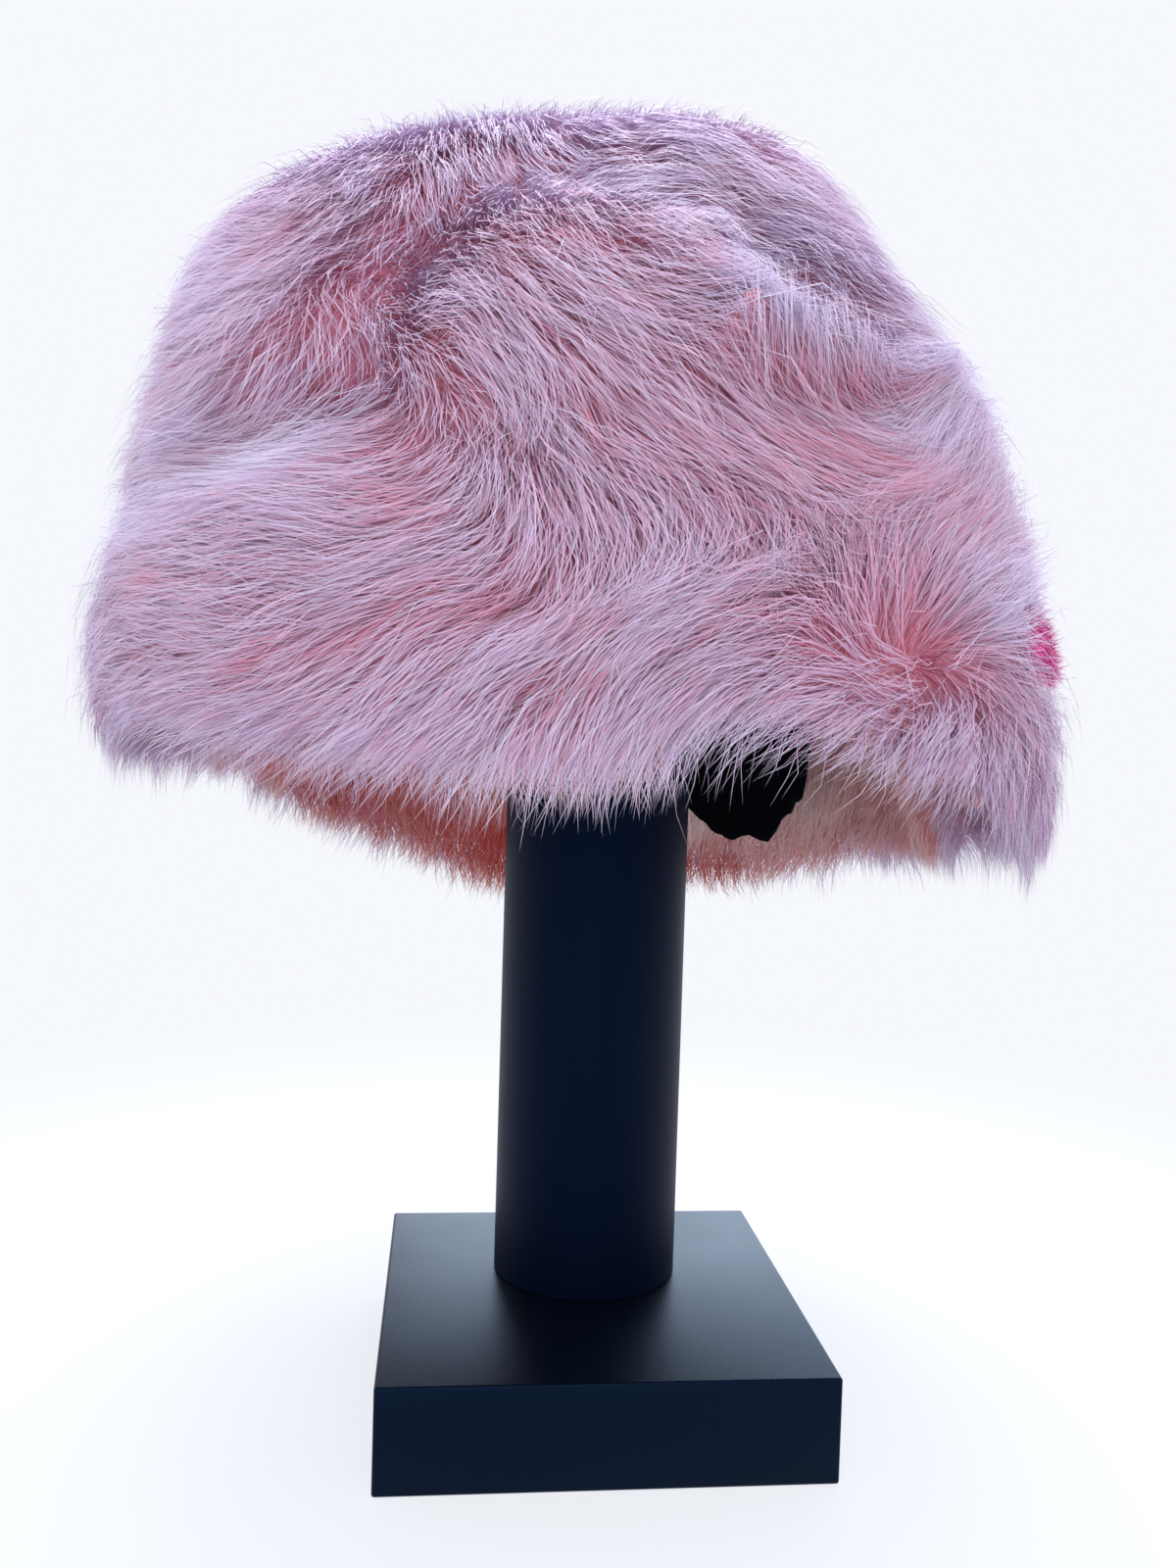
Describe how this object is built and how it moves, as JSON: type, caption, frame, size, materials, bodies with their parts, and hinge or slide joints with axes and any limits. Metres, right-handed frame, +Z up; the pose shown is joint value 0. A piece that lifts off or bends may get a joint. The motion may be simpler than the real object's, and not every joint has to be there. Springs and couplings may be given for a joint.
{
  "type": "fur hat on display stand",
  "caption": "Soft long-pile fur hat with a drooping brim and slumped crown, hanging over the round post of a plain display stand with a square base.",
  "frame": {"origin": "centre of the square base's underside", "axes": "+Z up along the post, -Y towards the base's front edge, from which the picture is taken, +X to the right"},
  "size_m": [0.2727, 0.2645, 0.3693],
  "materials": {
    "outer_fur": "long-pile faux fur, dusty pink with paler lavender hair tips and rosy roots",
    "facing_fur": "the same fur in shade, warmer and denser, shorter at the join",
    "lining_cloth": "thin matt black lining cloth",
    "patch_cloth": "plain fuzzy hot-pink applique",
    "stand_black": "satin black lacquer with a fine grain and slightly rounded edges"
  },
  "bodies": {
    "root": {"crown_top": "outer_fur", "crown_side": "outer_fur", "brim": "outer_fur", "brim_facing": "facing_fur", "lining_top": "lining_cloth", "lining_side": "lining_cloth", "lining_fold": "lining_cloth", "side_patch": "patch_cloth", "stand_post": "stand_black", "stand_base": "stand_black"}
  },
  "joints": []
}
